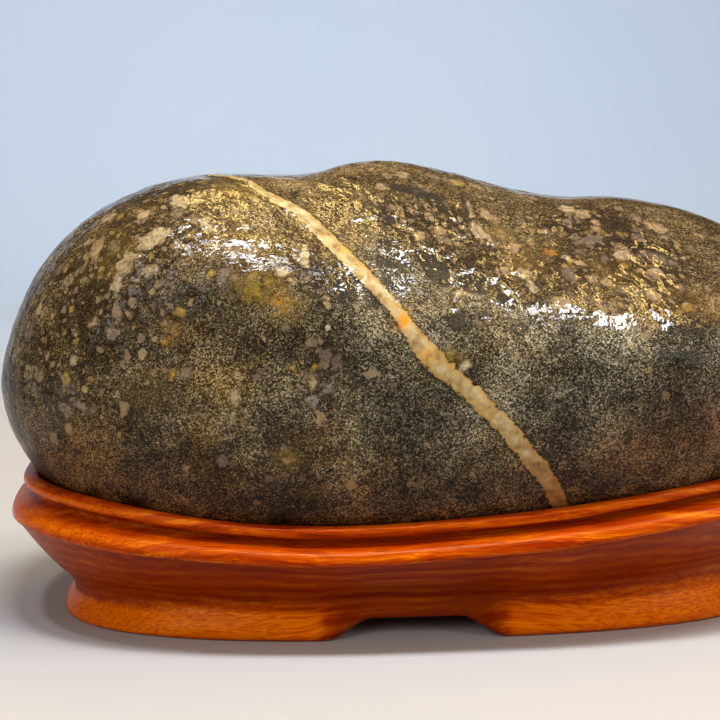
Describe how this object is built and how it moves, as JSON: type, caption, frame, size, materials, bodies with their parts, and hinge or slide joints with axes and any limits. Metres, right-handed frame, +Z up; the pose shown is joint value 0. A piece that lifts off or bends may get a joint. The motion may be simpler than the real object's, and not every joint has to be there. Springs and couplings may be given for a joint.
{
  "type": "river pebble on a wooden stand",
  "caption": "Smooth oval river stone crossed by a pale mineral vein, lying in a low carved hardwood display stand with a beaded rim and cut-out feet.",
  "frame": {"origin": "on the surface the stand stands on, under the middle of the object", "axes": "+X along the length of the stone, -Y towards the front, +Z up"},
  "size_m": [0.2503, 0.132, 0.1332],
  "materials": {
    "stone": "water-worn grey-green granular rock with pale clasts and a cream vein, sealed with a thin clear gloss coat",
    "stand_wood": "orange-red hardwood with fine darker grain, satin oiled"
  },
  "bodies": {
    "root": {"stone": "stone", "stand": "stand_wood"}
  },
  "joints": []
}
